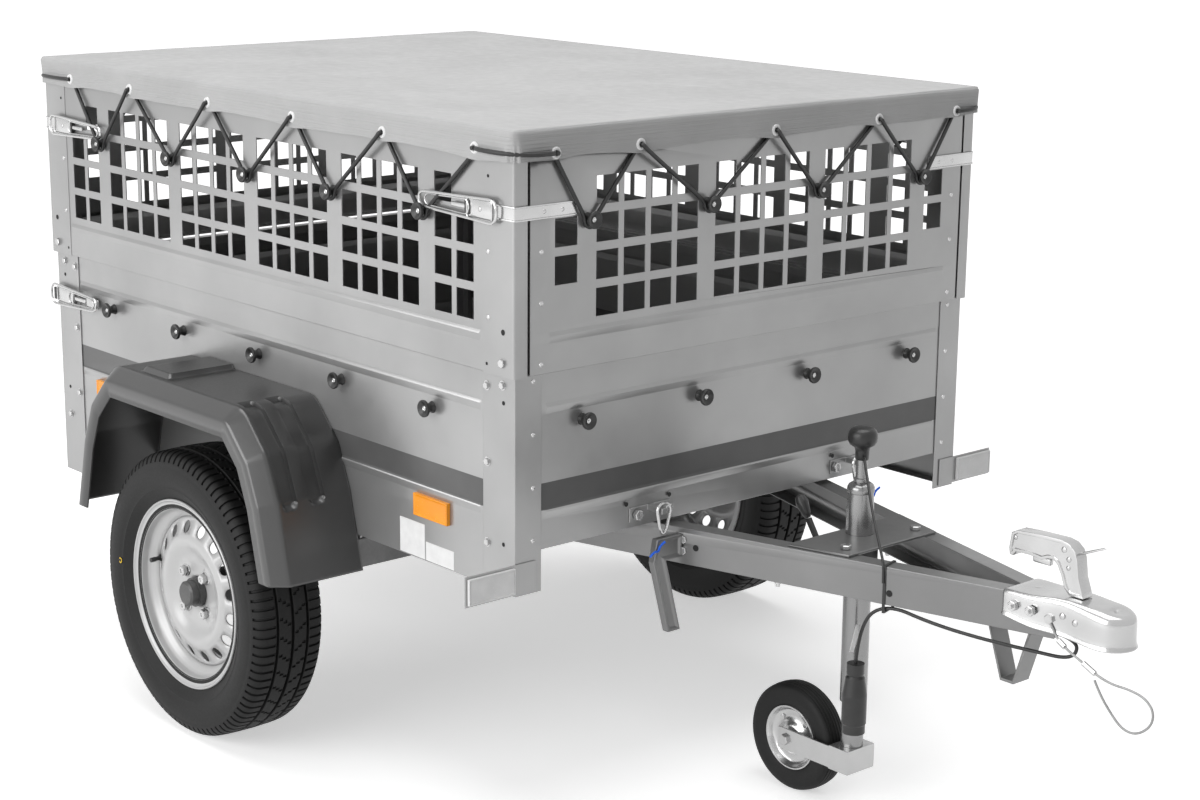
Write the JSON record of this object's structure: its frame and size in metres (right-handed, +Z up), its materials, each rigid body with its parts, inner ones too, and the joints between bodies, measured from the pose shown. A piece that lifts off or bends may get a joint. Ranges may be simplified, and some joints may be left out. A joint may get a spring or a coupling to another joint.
{
  "type": "utility trailer",
  "caption": "Single-axle box trailer with folded steel sides, perforated upper panels, a laced flat cover, mudguards, a V drawbar with ball coupling and a jockey wheel.",
  "frame": {"origin": "on the ground under the middle of the trailer's bounding box, on its centre line", "axes": "+X forward to the coupling, +Y to the left, +Z up"},
  "size_m": [2.48, 1.477, 1.2243],
  "materials": {
    "amber": "amber reflector",
    "axle_steel": "galvanised steel",
    "black_plastic": "black moulded plastic",
    "bright_zinc": "bright zinc plated",
    "cable_black": "black cable sheath",
    "cover_cloth": "grey coated cloth with a slight sheen",
    "floor_panel": "dark phenolic-faced plywood",
    "galvanised": "hot-dip galvanised, dull spangled grey",
    "guard_plastic": "dark grey moulded plastic",
    "hub_black": "black paint",
    "lamp_red": "red lamp lens",
    "rim_silver": "silver lacquer",
    "tyre_rubber": "matt black rubber",
    "white_reflector": "white reflector"
  },
  "bodies": {
    "drawbar": {"breakaway_wire": "bright_zinc", "cable": "cable_black", "cable_tie": "black_plastic", "clamp_grip": "black_plastic", "coupling": "bright_zinc", "coupling_handle": "bright_zinc", "crank_knob": "black_plastic", "cross_plate": "galvanised", "drawbar_rail_left": "galvanised", "drawbar_rail_right": "galvanised", "jockey_clamp": "bright_zinc", "jockey_tube": "bright_zinc", "nose_bracket": "galvanised", "plug": "black_plastic", "toggle_clamps": "bright_zinc", "wire_ferrules": "black_plastic"},
    "jockey_leg": {"jockey_leg": "bright_zinc"},
    "jockey_fork": {"jockey_fork": "bright_zinc"},
    "jockey_wheel": {"jockey_tyre": "tyre_rubber", "jockey_rim": "rim_silver"},
    "wheel_right": {"tyre_right": "tyre_rubber", "rim_right": "rim_silver", "hub_right": "hub_black", "wheel_bolts_right": "bright_zinc"},
    "wheel_left": {"tyre_left": "tyre_rubber", "rim_left": "rim_silver", "hub_left": "hub_black", "wheel_bolts_left": "bright_zinc"},
    "tailgate": {"tailgate": "galvanised", "tailgate_knobs": "black_plastic", "tailgate_latches": "galvanised"},
    "bed": {"axle_beam": "axle_steel", "axle_brackets": "galvanised", "bed_hooks": "bright_zinc", "board_knobs": "black_plastic", "corner_posts": "galvanised", "cover": "cover_cloth", "floor": "floor_panel", "floor_cross_members": "galvanised", "front_board": "galvanised", "front_reflector_plates": "galvanised", "front_reflectors": "white_reflector", "gate_hinge_pins": "galvanised", "hook_rings": "bright_zinc", "mesh_knobs": "black_plastic", "mesh_latches": "galvanised", "mesh_panel_front": "galvanised", "mesh_panel_left": "galvanised", "mesh_panel_rear": "galvanised", "mesh_panel_right": "galvanised", "mudguard_left": "guard_plastic", "mudguard_right": "guard_plastic", "rear_lamp_beam": "galvanised", "rear_lamps": "lamp_red", "side_boards": "galvanised", "side_reflectors": "amber", "trailing_arms": "axle_steel", "upper_posts": "galvanised"}
  },
  "joints": [
    {"name": "bed_tip", "type": "hinge", "parent": "drawbar", "child": "bed", "pos_m": [-0.3086, 0, 0.471], "axis": [0, -1, 0], "range_deg": [0, 27]},
    {"name": "wheel_right_spin", "type": "hinge", "parent": "bed", "child": "wheel_right", "pos_m": [-0.4446, -0.6467, 0.2765], "axis": [0, 1, 0], "continuous": true},
    {"name": "wheel_left_spin", "type": "hinge", "parent": "bed", "child": "wheel_left", "pos_m": [-0.4446, 0.6467, 0.2765], "axis": [0, 1, 0], "continuous": true},
    {"name": "tailgate_drop", "type": "hinge", "parent": "bed", "child": "tailgate", "pos_m": [-1.1595, 0, 0.5263], "axis": [0, -1, 0], "range_deg": [0, 90]},
    {"name": "jockey_extend", "type": "slide", "parent": "drawbar", "child": "jockey_leg", "axis": [0, 0, -1], "range_m": [0, 0.15]},
    {"name": "jockey_swivel", "type": "hinge", "parent": "jockey_leg", "child": "jockey_fork", "pos_m": [0.619, 0, 0.1], "axis": [0, 0, 1], "continuous": true},
    {"name": "jockey_wheel_spin", "type": "hinge", "parent": "jockey_fork", "child": "jockey_wheel", "pos_m": [0.489, 0, 0.1], "axis": [0, 1, 0], "continuous": true}
  ]
}
